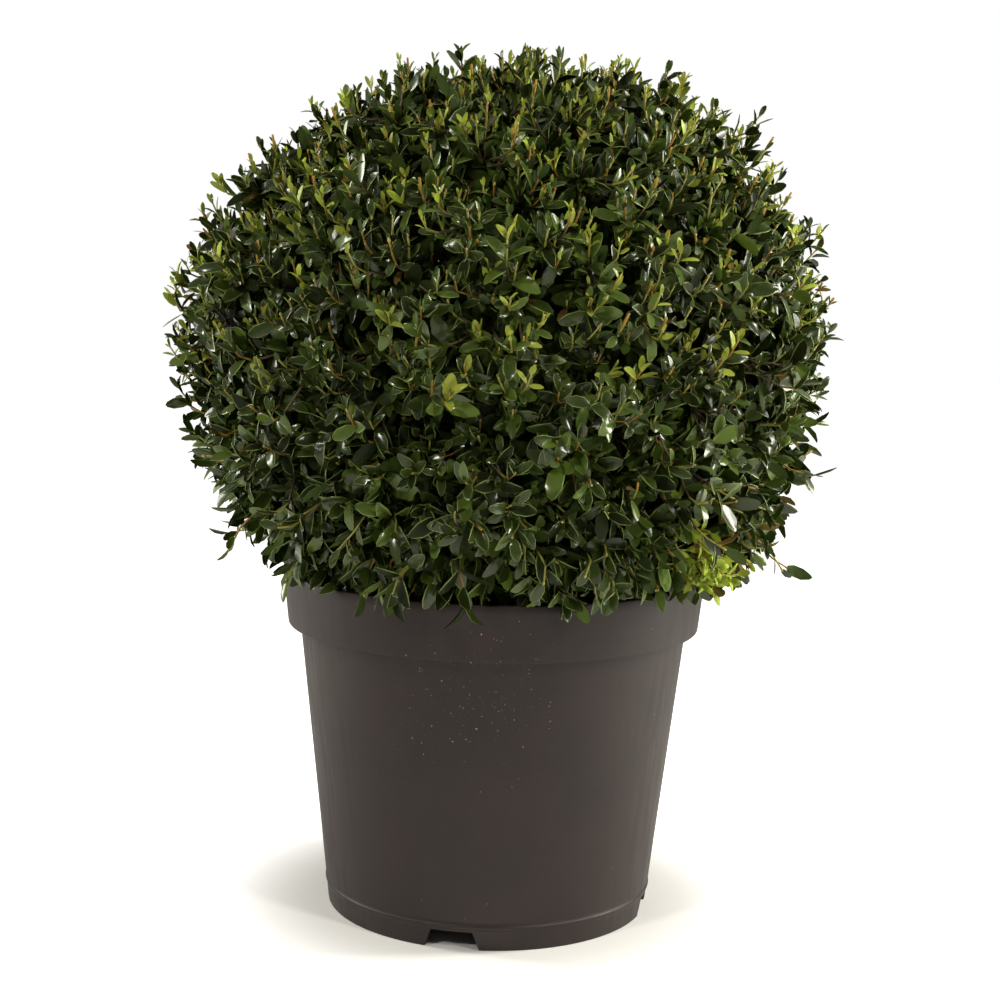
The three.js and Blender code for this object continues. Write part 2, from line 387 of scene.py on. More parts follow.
def under_band_painted_shade(material, place, pot):
    """How much painted shade darkens the wall in the corner under the rim band: a thin near-black
    line that stands for the band's shadow, full for 1.6 mm down the wall and gone by 3.2 mm."""
    height = add_node(material, "ShaderNodeSeparateXYZ", Vector=place).outputs["Z"]
    line = add_node(
        material, "ShaderNodeMapRange", {"interpolation_type": "SMOOTHSTEP"}, Value=height,
        From_Min=pot.band_bottom - 3.2 * MM, From_Max=pot.band_bottom - 1.6 * MM, To_Max=1.0,
    ).outputs["Result"]
    below = add_node(
        material, "ShaderNodeMath", {"operation": "LESS_THAN"},
        i0=height, i1=pot.band_bottom + 0.2 * MM,
    ).outputs[0]
    return add_node(
        material, "ShaderNodeMath", {"operation": "MULTIPLY"}, i0=line, i1=below
    ).outputs[0]


def compost_flecks(material, place):
    """Where dried flecks sit: ragged dots of up to 1.2 mm, one at most in each
    cell of about 2.2 mm, thick on the front of the wall and rare elsewhere."""
    cell = 2.2 * MM
    shake = add_node(
        material, "ShaderNodeTexNoise", Vector=place, Scale=1 / (1.5 * MM), Detail=1.0
    ).outputs["Color"]
    ragged = add_node(
        material, "ShaderNodeVectorMath", {"operation": "MULTIPLY_ADD"},
        i0=shake, i1=(cell, cell, cell), i2=place,
    ).outputs["Vector"]
    specks = add_node(
        material, "ShaderNodeTexVoronoi", {"feature": "F1"}, Vector=ragged, Scale=1 / cell
    )
    chance = add_node(material, "ShaderNodeSeparateColor", Color=specks.outputs["Color"])
    size = add_node(
        material, "ShaderNodeMapRange", Value=chance.outputs["Red"],
        From_Min=0.3, From_Max=1.0, To_Max=0.27,
    ).outputs["Result"]
    dots = add_node(
        material, "ShaderNodeMath", {"operation": "LESS_THAN"},
        i0=specks.outputs["Distance"], i1=size,
    ).outputs[0]
    front = add_node(
        material, "ShaderNodeVectorMath", {"operation": "DISTANCE"}, i0=place, i1=FLECKED_SPOT
    ).outputs["Value"]
    thickness = add_node(
        material, "ShaderNodeMapRange", {"interpolation_type": "SMOOTHSTEP"},
        Value=front, From_Min=0.005, From_Max=0.075, To_Min=0.7, To_Max=0.006,
    ).outputs["Result"]
    present = add_node(
        material, "ShaderNodeMath", {"operation": "LESS_THAN"},
        i0=chance.outputs["Green"], i1=thickness,
    ).outputs[0]
    faintness = add_node(
        material, "ShaderNodeMapRange", Value=chance.outputs["Blue"], To_Min=0.15
    ).outputs["Result"]
    shown = add_node(
        material, "ShaderNodeMath", {"operation": "MULTIPLY"}, i0=dots, i1=present
    ).outputs[0]
    return add_node(
        material, "ShaderNodeMath", {"operation": "MULTIPLY"}, i0=shown, i1=faintness
    ).outputs[0]


@functools.lru_cache(maxsize=None)
def compost():
    """Damp peat compost: dark fibrous crumbs of 1 to 4 mm, matt, with paler
    bark chips among them."""
    material, shader = new_material("damp_peat_compost")
    place = add_node(material, "ShaderNodeTexCoord").outputs["Object"]
    crumb = add_node(
        material, "ShaderNodeTexNoise", Vector=place,
        Scale=1 / (3 * MM), Detail=5.0, Roughness=0.7,
    ).outputs["Fac"]
    stops = [(0.3, linear("#150F0B")), (0.52, linear("#2E2119")), (0.72, linear("#5A4433"))]
    colour = add_node(
        material, "ShaderNodeValToRGB", {"stops": stops}, Fac=crumb
    ).outputs["Color"]
    bump = add_node(
        material, "ShaderNodeBump", Strength=0.9, Distance=1.2 * MM, Height=crumb
    ).outputs["Normal"]
    set_sockets(material, shader, Base_Color=colour, Roughness=0.92, Normal=bump)
    return material


@functools.lru_cache(maxsize=None)
def box_bark():
    """Old box bark: corky, grey-tan, cracked into small lengthwise plates a
    few millimetres wide, darker in the cracks."""
    material, shader = new_material("old_box_bark")
    place = add_node(material, "ShaderNodeTexCoord").outputs["Object"]
    plate_scale = (1 / (3.5 * MM), 1 / (3.5 * MM), 1 / (11 * MM))
    plate_place = add_node(material, "ShaderNodeMapping", Vector=place, Scale=plate_scale)
    plates = add_node(
        material, "ShaderNodeTexVoronoi", {"feature": "DISTANCE_TO_EDGE"},
        Vector=plate_place.outputs["Vector"], Scale=1.0,
    ).outputs["Distance"]
    grain = add_node(
        material, "ShaderNodeTexNoise", Vector=place, Scale=1 / (2 * MM), Detail=4.0
    ).outputs["Fac"]
    relief = add_node(
        material, "ShaderNodeMath", {"operation": "MULTIPLY_ADD"}, i0=grain, i1=0.35, i2=plates
    ).outputs[0]
    stops = [(0.12, linear("#3A2E22")), (0.35, linear("#7C6B52")), (0.7, linear("#A6967A"))]
    colour = add_node(
        material, "ShaderNodeValToRGB", {"stops": stops}, Fac=relief
    ).outputs["Color"]
    bump = add_node(
        material, "ShaderNodeBump", Strength=0.8, Distance=0.7 * MM, Height=relief
    ).outputs["Normal"]
    set_sockets(material, shader, Base_Color=colour, Roughness=0.85, Normal=bump)
    return material


# ------------------------------------------------------------ settings ---


class PotSettings(bpy.types.PropertyGroup):
    """Sizes and colours of the pot and its soil."""

    wall_foot_radius: bpy.props.FloatProperty(
        name="Wall radius at ground", description="Outside radius of the wall on the ground",
        default=120.6 * MM, unit="LENGTH", subtype="DISTANCE",
    )
    wall_top_radius: bpy.props.FloatProperty(
        name="Wall radius under band",
        description="Outside radius of the wall under the rim band",
        default=144.2 * MM, unit="LENGTH", subtype="DISTANCE",
    )
    band_bottom: bpy.props.FloatProperty(
        name="Band underside", description="Height of the rim band's underside",
        default=214 * MM, unit="LENGTH", subtype="DISTANCE",
    )
    band_bottom_radius: bpy.props.FloatProperty(
        name="Band radius", description="Outside radius of the rim band at its underside",
        default=153.1 * MM, unit="LENGTH", subtype="DISTANCE",
    )
    wall: bpy.props.FloatProperty(
        name="Wall thickness", description="Thickness of the moulded wall",
        default=2.5 * MM, unit="LENGTH", subtype="DISTANCE",
    )
    foot_height: bpy.props.FloatProperty(
        name="Foot height", description="Height of the thick foot ring",
        default=14.7 * MM, unit="LENGTH", subtype="DISTANCE",
    )
    foot_thickness: bpy.props.FloatProperty(
        name="Foot thickness", description="Thickness of the foot ring",
        default=5 * MM, unit="LENGTH", subtype="DISTANCE",
    )
    notch_turn: bpy.props.FloatProperty(
        name="First notch", description="Direction of the first drainage notch from +X",
        default=math.radians(-101.6), unit="ROTATION", subtype="ANGLE",
    )
    sides: bpy.props.IntProperty(
        name="Sides", description="Points round the pot", default=360, min=48,
    )
    roughness: bpy.props.FloatProperty(
        name="Roughness", description="Roughness of the moulded skin",
        default=0.5, min=0, max=1, subtype="FACTOR",
    )
    dark_plastic: bpy.props.FloatVectorProperty(
        name="Dark plastic", description="Darker clouds of the moulded plastic",
        default=linear("#1A0F0D"), size=4, subtype="COLOR",
    )
    pale_plastic: bpy.props.FloatVectorProperty(
        name="Pale plastic", description="Paler clouds and drag marks of the moulded plastic",
        default=linear("#2B1C19"), size=4, subtype="COLOR",
    )
    fleck_colour: bpy.props.FloatVectorProperty(
        name="Flecks", description="Dried flecks of compost on the wall",
        default=linear("#A08C7A"), size=4, subtype="COLOR",
    )


class LimbSettings(bpy.types.PropertyGroup):
    """Sizes and counts of the stem, boughs, branches and twigs."""

    seed: bpy.props.IntProperty(
        name="Seed", description="Seed of the branching rule", default=11,
    )
    stem_foot_radius: bpy.props.FloatProperty(
        name="Stem foot radius", description="Stem radius at the soil, without its flare",
        default=11 * MM, unit="LENGTH", subtype="DISTANCE",
    )
    stem_fork_radius: bpy.props.FloatProperty(
        name="Stem fork radius", description="Stem radius at its fork",
        default=8 * MM, unit="LENGTH", subtype="DISTANCE",
    )
    stem_flare: bpy.props.FloatProperty(
        name="Root flare", description="Extra radius where the roots leave the stem",
        default=6 * MM, unit="LENGTH", subtype="DISTANCE",
    )
    stem_lean: bpy.props.FloatVectorProperty(
        name="Stem lean", description="Sideways travel of the stem up to its fork",
        default=(7 * MM, 3 * MM), size=2, unit="LENGTH",
    )
    bough_count: bpy.props.IntProperty(
        name="Boughs", description="Limbs that leave the stem", default=9, min=1,
    )
    branch_count: bpy.props.IntProperty(
        name="Branches", description="Branches that the boughs carry", default=54, min=1,
    )
    twig_count: bpy.props.IntProperty(
        name="Twigs", description="Twigs that the branches carry", default=330, min=1,
    )
    bough_radius: bpy.props.FloatProperty(
        name="Bough radius", description="Radius where a bough leaves the stem",
        default=6 * MM, unit="LENGTH", subtype="DISTANCE",
    )
    branch_radius: bpy.props.FloatProperty(
        name="Branch radius", description="Radius where a branch leaves its bough",
        default=3.4 * MM, unit="LENGTH", subtype="DISTANCE",
    )
    twig_radius: bpy.props.FloatProperty(
        name="Twig radius", description="Radius where a twig leaves its branch",
        default=1.9 * MM, unit="LENGTH", subtype="DISTANCE",
    )
    shoot_radius: bpy.props.FloatProperty(
        name="Shoot radius", description="Radius where a leafy shoot leaves its twig",
        default=0.9 * MM, unit="LENGTH", subtype="DISTANCE",
    )


class SpraySettings(bpy.types.PropertyGroup):
    """Counts and sizes of the leafy shoots and their leaves."""

    seed: bpy.props.IntProperty(
        name="Seed", description="Seed of the sprays", default=23,
    )
    spray_count: bpy.props.IntProperty(
        name="Sprays", description="Leafy shoots over the whole crown", default=2800, min=1,
    )
    leafy_length: bpy.props.FloatProperty(
        name="Leafy length", description="Length of shoot that carries leaves",
        default=44 * MM, unit="LENGTH", subtype="DISTANCE",
    )
    pairs: bpy.props.IntProperty(
        name="Leaf pairs", description="Opposite leaf pairs on each shoot", default=6, min=1,
    )
    leaf_length: bpy.props.FloatProperty(
        name="Leaf length", description="Length of a full-grown leaf",
        default=18 * MM, unit="LENGTH", subtype="DISTANCE",
    )
    leaf_width: bpy.props.FloatProperty(
        name="Leaf width", description="Width of a full-grown leaf",
        default=8.1 * MM, unit="LENGTH", subtype="DISTANCE",
    )
    rim_sprays: bpy.props.IntProperty(
        name="Rim sprays", description="Leafy shoots that rest on the pot's rim",
        default=430, min=0,
    )
    patch_sprays: bpy.props.IntProperty(
        name="Patch sprays", description="Small pale shoots in the bright patch",
        default=26, min=0,
    )
    inner_leaves: bpy.props.IntProperty(
        name="Inner leaves", description="Old shaded leaves behind the sprays",
        default=8600, min=0,
    )


class LeafColours(bpy.types.PropertyGroup):
    """Plain base colours that are dealt out to the leaves and twigs."""

    deep: bpy.props.FloatVectorProperty(
        name="Deep green", description="Darkest full-grown leaves",
        default=linear("#20290B"), size=4, subtype="COLOR",
    )
    mature: bpy.props.FloatVectorProperty(
        name="Mature green", description="Full-grown leaves",
        default=linear("#354315"), size=4, subtype="COLOR",
    )
    fresh: bpy.props.FloatVectorProperty(
        name="Fresh green", description="Leaves in their first summer",
        default=linear("#566A25"), size=4, subtype="COLOR",
    )
    light: bpy.props.FloatVectorProperty(
        name="Light green", description="Young leaves near the shoot tips",
        default=linear("#9CA53E"), size=4, subtype="COLOR",
    )
    lime: bpy.props.FloatVectorProperty(
        name="Lime green", description="Newest leaves and the bright patch",
        default=linear("#B4C84A"), size=4, subtype="COLOR",
    )
    underside: bpy.props.FloatVectorProperty(
        name="Underside", description="Paler, duller undersides",
        default=linear("#45552A"), size=4, subtype="COLOR",
    )
    # The leaf edge colour is a painted highlight: a thin pale strip that stands for the light a
    # rolled-down leaf edge catches.
    margin: bpy.props.FloatVectorProperty(
        name="Leaf edge", description="Thin pale edge of a full-grown leaf",
        default=linear("#788A4A"), size=4, subtype="COLOR",
    )
    shoot: bpy.props.FloatVectorProperty(
        name="Green shoot", description="Skin of this year's shoots",
        default=linear("#94903A"), size=4, subtype="COLOR",
    )
    twig: bpy.props.FloatVectorProperty(
        name="Twig", description="Bark of last year's twigs",
        default=linear("#604B34"), size=4, subtype="COLOR",
    )
    dried: bpy.props.FloatVectorProperty(
        name="Dried leaf", description="Dried leaves beside the bright patch",
        default=linear("#6E5A2E"), size=4, subtype="COLOR",
    )
    straw: bpy.props.FloatVectorProperty(
        name="Straw", description="Ends and shoots that have dried to straw",
        default=linear("#B3A055"), size=4, subtype="COLOR",
    )
    russet: bpy.props.FloatVectorProperty(
        name="Browned shoot", description="Shoots whose skin the sun has browned",
        default=linear("#906C1E"), size=4, subtype="COLOR",
    )
    cut: bpy.props.FloatVectorProperty(
        name="Clipped end", description="Dried ends left by the shears",
        default=linear("#A8842E"), size=4, subtype="COLOR",
    )


class StudioSettings(bpy.types.PropertyGroup):
    """Camera, lights and floor."""

    distance: bpy.props.FloatProperty(
        name="Camera distance", description="From the pot's axis, along -Y",
        default=1420.6 * MM, unit="LENGTH", subtype="DISTANCE",
    )
    height: bpy.props.FloatProperty(
        name="Camera height", description="Above the ground",
        default=495.3 * MM, unit="LENGTH", subtype="DISTANCE",
    )
    pitch: bpy.props.FloatProperty(
        name="Camera pitch", description="How far it looks down",
        default=0.133, unit="ROTATION", subtype="ANGLE",
    )
    yaw: bpy.props.FloatProperty(
        name="Camera yaw", description="How far it looks to the right",
        default=0.002, unit="ROTATION", subtype="ANGLE",
    )
    roll: bpy.props.FloatProperty(
        name="Camera roll", description="How far it is turned about its own line of sight",
        default=0.025, unit="ROTATION", subtype="ANGLE",
    )
    lens: bpy.props.FloatProperty(
        name="Lens", description="Focal length in millimetres on a 36 mm sensor", default=69.08,
    )
    light_colour: bpy.props.FloatVectorProperty(
        name="Light colour", description="Warm white of every softbox",
        default=(1.0, 0.97, 0.88), size=3, subtype="COLOR",
    )
    side_power: bpy.props.FloatProperty(
        name="Side lights", description="Power of each of the two side softboxes",
        default=16.5, unit="POWER",
    )
    key_power: bpy.props.FloatProperty(
        name="Key lights", description="Power of each of the two small lights high in front",
        default=9, unit="POWER",
    )
    top_power: bpy.props.FloatProperty(
        name="Top light", description="Power of the overhead softbox", default=1, unit="POWER",
    )
    sky: bpy.props.FloatProperty(
        name="Room light", description="Strength of the even room light", default=0.11,
    )
    floor_glow: bpy.props.FloatProperty(
        name="Floor glow", description="Own light of the white floor, lit from below",
        default=1.0,
    )


# ----------------------------------------------------------------- pot ---


def wall_radius(pot, height):
    """Outside radius of the tapered wall: an even taper from ground to band."""
    return mix(pot.wall_foot_radius, pot.wall_top_radius, height / pot.band_bottom)


def band_radius(pot, height):
    """Outside radius of the rim band: an even taper from its underside to the lip."""
    share = (height - pot.band_bottom) / (POT_HEIGHT - pot.band_bottom)
    return mix(pot.band_bottom_radius, RIM_RADIUS, share)


def pot_profile(pot):
    """The wall's closed outline as radius and height, going up the outside,
    over the lip and down the inside, with each moulded edge rounded by a
    quarter circle and a low half-round ridge above the foot."""
    wall = functools.partial(wall_radius, pot)
    band = functools.partial(band_radius, pot)
    edge, corner, lip = 1.1 * MM, 0.5 * MM, pot.wall / 2
    wall_start, ridge_below, ridge_above = 3 * MM, 15 * MM, 22 * MM
    shoulder = pot.band_bottom - edge
    ledge = pot.band_bottom + pot.wall
    lip_start = POT_HEIGHT - 3 * MM
    foot_inside = pot.wall_foot_radius - pot.foot_thickness

    def at(taper, height, inset=0):
        """The point of a tapered side at a height, moved in by an inset."""
        return taper(height) - inset, height

    def straight(start, end, count):
        """Even steps along a line, without its end."""
        return np.linspace(start, end, count, endpoint=False)

    def rounded(centre, radius, start_turn, end_turn):
        """An arc of a circle, in four even steps of its turn."""
        turn = np.linspace(start_turn, end_turn, 5)
        return np.array(centre) + radius * np.stack([np.cos(turn), np.sin(turn)], axis=1)

    turn = np.linspace(-QUARTER, QUARTER, 7)
    ridge_heights = RIDGE_MIDDLE + RIDGE_HALF_HEIGHT * np.sin(turn)
    ridge_radii = wall(ridge_heights) + RIDGE_REACH * np.cos(turn)
    parts = [
        straight((foot_inside, 0), (pot.wall_foot_radius - edge, 0), 4),
        rounded(at(wall, edge, edge), edge, -QUARTER, 0),
        straight(at(wall, wall_start), at(wall, ridge_below), 6),
        np.stack([ridge_radii, ridge_heights], axis=1),
        straight(at(wall, ridge_above), at(wall, shoulder), 18),
        rounded((wall(pot.band_bottom) + edge, shoulder), edge, 2 * QUARTER, QUARTER),
        rounded((pot.band_bottom_radius - corner, pot.band_bottom + corner), corner, -QUARTER, 0),
        straight(at(band, ledge), at(band, lip_start), 8),
        rounded((RIM_RADIUS - lip, POT_HEIGHT - lip), lip, 0, 2 * QUARTER),
        straight(at(band, lip_start, pot.wall), at(band, ledge + edge, pot.wall), 5),
        rounded((band(ledge) - pot.wall - edge, ledge + edge), edge, 0, -QUARTER),
        straight(at(wall, ledge, pot.wall), at(wall, pot.foot_height, pot.wall), 10),
        straight((foot_inside, pot.foot_height), (foot_inside, 0), 5),
    ]
    return np.concatenate(parts)


def notch_lift(turns, pot):
    """How far the foot's underside is raised at each turn round the pot: a
    trapezoid at each of the four notches, 40 mm wide below, 30 mm above and
    13.5 mm tall, and nothing between them."""
    apart = (turns - pot.notch_turn + QUARTER / 2) % QUARTER - QUARTER / 2
    along = np.abs(apart) * pot.wall_foot_radius
    return NOTCH_HEIGHT * np.clip((NOTCH_HALF_WIDTH - along) / NOTCH_SIDE_WIDTH, 0, 1)


def pot_surface(pot):
    """The wall: its outline turned about Z. Below the foot's top the heights
    are squeezed upwards by the notch lift, and the radius follows the wall's
    taper as they rise. Extra turns lie 1 mm apart along each notch's sides."""
    even = np.linspace(0, 2 * math.pi, pot.sides, endpoint=False)
    side = np.linspace(NOTCH_HALF_WIDTH - NOTCH_SIDE_WIDTH, NOTCH_HALF_WIDTH, 6)
    corner = np.concatenate([-side[::-1], side]) / pot.wall_foot_radius
    starts = pot.notch_turn + QUARTER * np.arange(4)
    turns = np.sort(np.concatenate([even, (starts[:, None] + corner).ravel() % (2 * math.pi)]))
    profile = pot_profile(pot)
    radius, height = profile[:, :1], profile[:, 1:]
    below = np.clip(1 - height / pot.foot_height, 0, 1)
    raised = height + notch_lift(turns, pot)[None, :] * below
    slope = (pot.wall_top_radius - pot.wall_foot_radius) / pot.band_bottom
    outside = radius > pot.wall_foot_radius - 2 * MM
    radius = radius + np.where(outside, slope * (raised - height), 0)
    wobble = 0.25 * MM * np.sin(2 * turns + 0.7) * smooth_step(0, POT_HEIGHT, height)
    points = turned(radius + wobble, turns, raised)
    triangles = grid_triangles(*points.shape[:2], wrap_rows=True, wrap_columns=True)
    return points.reshape(-1, 3), triangles[:, ::-1]


def soil_surface(pot):
    """The soil: rings of points from the middle out to the wall, domed and
    crumbly by three sizes of ripple, then down the wall and back to the middle
    below."""
    rings, sides = 70, 200
    dome_height, flat_radius, crumb_gap = 6 * MM, 30 * MM, 0.8 * MM
    top_low = SOIL_BOX[1][2] - dome_height
    inside = pot.wall + crumb_gap
    edge = band_radius(pot, top_low) - inside
    turn = np.linspace(0, 2 * math.pi, sides, endpoint=False)
    reach = edge * (np.arange(1, rings + 1) / rings)
    dome = dome_height * np.clip(1 - (reach - flat_radius) / (edge - flat_radius), 0, 1)
    ledge = pot.band_bottom + inside
    low = np.array([ledge, ledge, SOIL_BOX[0][2] + 1 * MM])
    down = [band_radius(pot, ledge), wall_radius(pot, ledge), wall_radius(pot, low[-1])]
    radius = np.concatenate([reach, np.array(down) - inside])
    height = np.concatenate([top_low + dome, low])
    flat = turned(radius[:, None], turn, height[:, None])
    crumbs = 1.6 * ripple(flat, 9 * MM, 1) + 1.2 * ripple(flat, 4.5 * MM, 2)
    crumbs = crumbs + 0.8 * ripple(flat, 22 * MM, 3) - 1.6
    crumbly = (np.arange(len(radius)) < rings - 1)[:, None]
    flat[..., 2] += crumbs * MM * crumbly
    middle = [[0, 0, SOIL_BOX[1][2] - 1 * MM], [0, 0, low[-1]]]
    points = np.concatenate([flat.reshape(-1, 3), middle])
    return points, capped_triangles(len(radius), sides)[:, ::-1]


class BOXBALL_OT_pot(bpy.types.Operator):
    """Turn the pot's wall, with its rim band, lip and notched foot"""

    bl_idname = "boxball.pot"
    bl_label = "Pot"

    def execute(self, context):
        shape = pot_surface(context.scene.box_ball_pot)
        add_piece("pot_shell", shape, [polypropylene()], ["pot_wall"])
        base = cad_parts["pot_base"]
        base.data.materials.clear()
        base.data.materials.append(polypropylene())
        return {"FINISHED"}


class BOXBALL_OT_soil(bpy.types.Operator):
    """Fill the pot with crumbly compost"""

    bl_idname = "boxball.soil"
    bl_label = "Soil"

    def execute(self, context):
        shape = soil_surface(context.scene.box_ball_pot)
        add_piece("soil_surface", shape, [compost()], ["potting_soil"])
        return {"FINISHED"}


# --------------------------------------------------------------- limbs ---

LOWEST_LIMB = -0.72  # height of a unit direction, below which the pot is in the way


@functools.lru_cache(maxsize=None)
def crown_tree():
    """A ray-casting tree of the crown's outline in the frame."""
    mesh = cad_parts["crown"].data
    points = np.empty(len(mesh.vertices) * 3)
    mesh.vertices.foreach_get("co", points)
    triangles = [tuple(face.vertices) for face in mesh.polygons]
    return BVHTree.FromPolygons(points.reshape(-1, 3).tolist(), triangles)


def crown_heart():
    """The middle of the crown, where every direction starts."""
    low, high = np.array(CROWN_BOX[0]), np.array(CROWN_BOX[1])
    heart = (low + high) / 2
    heart[:2] = 0
    return heart


def outline_hits(directions):
    """Where rays from the crown's heart leave its outline, and how the outline
    faces there, softened towards the ray. The rays come in from well outside."""
    heart = Vector(crown_heart())
    reach = 0.6
    hits = [crown_tree().ray_cast(heart + Vector(d) * reach, -Vector(d), reach) for d in directions]
    places = np.array([hit[0][:] for hit in hits])
    facing = np.array([hit[1][:] for hit in hits])
    facing = facing * np.sign(dot(facing, directions))
    return places, unit(facing + 1.5 * directions)


@functools.lru_cache(maxsize=None)
def limb_levels():
    """The limbs as three levels of curves, bough, branch and twig. Each level
    has its own even spiral of directions and ends at its own share of the way
    to the outline; each limb starts from the nearest end of the level below,
    leaves it along that limb's direction and turns outwards."""
    limbs = bpy.context.scene.box_ball_limbs
    rng = np.random.default_rng(limbs.seed)
    heart = crown_heart()
    foot = np.array([0, 0, STEM_BOX[0][2]])
    fork = np.array([limbs.stem_lean[0], limbs.stem_lean[1], STEM_BOX[1][2]])
    levels = []
    ends, end_directions = None, None
    for count, share in (
        (limbs.bough_count, 0.4), (limbs.branch_count, 0.64), (limbs.twig_count, 0.8)
    ):
        directions = spiral_directions(count, rng, 0.25)
        directions = directions[directions[:, 2] > LOWEST_LIMB]
        places, facing = outline_hits(directions)
        far = heart + (places - heart) * (share + rng.uniform(-0.05, 0.05, (len(places), 1)))
        if ends is None:
            rise = np.clip(0.62 + 0.5 * directions[:, 2:3], 0.18, 1)
            start = foot + (fork - foot) * rise
            leave = unit(directions + [0, 0, 0.9])
        else:
            parent = np.argmax(directions @ unit(ends - heart).T, axis=1)
            start = ends[parent]
            leave = end_directions[parent]
        span = np.linalg.norm(far - start, axis=1, keepdims=True)
        arrive = unit(facing + [0, 0, 0.35])
        levels.append((start, start + leave * span * 0.35, far - arrive * span * 0.35, far))
        ends, end_directions = far, arrive
    return levels


def limb_tubes(curve, start_radius, end_radius, stations, sides, relief=None):
    """Tapering tubes along Bezier limbs: the radius falls evenly from start to end."""
    t = np.tile(np.linspace(0, 1, stations), (len(curve[0]), 1))
    radii = mix(start_radius, end_radius, t)
    return tube_mesh(bezier(*curve, t), bezier_slope(*curve, t), radii, sides, relief)


def bark_relief(points):
    """Lengthwise corky ridges: ripples that are short across and long along Z."""
    squeezed = points * np.array([1, 1, 0.3])
    return 0.07 * ripple(squeezed, 5 * MM, 31) + 0.05 * ripple(points, 14 * MM, 32)


def stem_surface(limbs):
    """The stem: rings up a leaning line. The radius tapers evenly, a lobed
    flare fades upwards by an exponential, and bark relief is laid over it."""
    rings, sides = 90, 72
    roots, flare_fade = 5, 12 * MM
    length = STEM_BOX[1][2] - STEM_BOX[0][2]
    share = np.linspace(0, 1, rings)[:, None]
    turn = np.linspace(0, 2 * math.pi, sides, endpoint=False)[None, :]
    lobes = 0.75 + 0.25 * np.cos(roots * turn)
    radius = mix(limbs.stem_foot_radius, limbs.stem_fork_radius, share)
    radius = radius + limbs.stem_flare * lobes * np.exp(-share * length / flare_fade)
    lean = share**2 * np.array(limbs.stem_lean)
    axis = np.concatenate([lean, STEM_BOX[0][2] + share * length], axis=1)[:, None]
    points = turned(radius, turn, 0) + axis
    points = axis + (points - axis) * (1 + bark_relief(points)[..., None])
    ends = [axis[0, 0], axis[-1, 0] + [0, 0, 2 * MM]]
    return np.concatenate([points.reshape(-1, 3), ends]), capped_triangles(rings, sides)


class BOXBALL_OT_limbs(bpy.types.Operator):
    """Grow the stem and its boughs, with bark relief"""

    bl_idname = "boxball.limbs"
    bl_label = "Stem and boughs"

    def execute(self, context):
        limbs = context.scene.box_ball_limbs
        add_piece("stem_bark", stem_surface(limbs), [box_bark()], ["main_stem"])
        boughs, branches, _ = limb_levels()
        for name, curve, start, end, stations, sides in (
            ("boughs", boughs, limbs.bough_radius, limbs.branch_radius, 40, 24),
            ("branches", branches, limbs.branch_radius, limbs.twig_radius, 20, 10),
        ):
            shape = limb_tubes(curve, start, end * 1.1, stations, sides, bark_relief)
            add_piece(name, shape, [box_bark()])
        return {"FINISHED"}


# -------------------------------------------------------------- sprays ---

# Outside this line a leaf's thin edge strip carries a painted highlight.
EDGE_LINE = 0.88  # share of a leaf's half width inside its pale edge
HANGING_TURN = math.radians(-103)  # where shoots come down over the rim, from +X
BRIGHT_PATCH = np.array([0.143, -0.126, 0.285])
DRIED_PATCH = np.array([0.180, -0.098, 0.288])
BROWNED_SHARE = 0.33  # of the shoots
LARGEST_PIECE = 190_000  # triangles
OLD_SPRAY, MID_SPRAY, FRESH_SPRAY, PATCH_SPRAY = range(4)
DEEP, MATURE, FRESH, LIGHT, LIME, UNDERSIDE, EDGE, SHADED, DRIED = range(9)


def rim_spots(count, rng):
    """Where shoots rest on the rim: even turns round it, each at a random
    reach from over the soil to past the wall and a random height above the
    lip, facing outwards and a little up. Near the hanging turn those past the
    wall come down over the lip and face a little down."""
    turn = 2 * math.pi * (np.arange(count) + rng.uniform(-0.5, 0.5, count)) / max(count, 1)
    spoke = turned(1, turn, 0)
    from_front = (turn - HANGING_TURN + math.pi) % (2 * math.pi) - math.pi
    hang = np.exp(-((from_front / 0.3) ** 2))
    reach = RIM_RADIUS + mix(-60, mix(5, 12, hang), rng.random(count)) * MM
    outside = smooth_step(-3 * MM, 7 * MM, reach - RIM_RADIUS)
    beyond = rng.uniform(0, 10, count) + mix(5, -13, hang)
    height = POT_HEIGHT + mix(rng.uniform(1, 13, count), beyond, outside) * MM
    places = spoke * reach[:, None] + height[:, None] * np.array([0, 0, 1])
    rise = mix(0.3, -0.35, hang)
    return places, unit(spoke + rise[:, None] * [0, 0, 1])


def patch_spots(count, rng):
    """Where the bright patch's shoots end: scattered round its middle, facing
    straight out from the crown's axis."""
    places = BRIGHT_PATCH + rng.normal(0, 1, (count, 3)) * np.array([12, 8, 11]) * MM
    return places, unit(places * [1, 1, 0] + rng.normal(0, 0.03, (count, 3)))


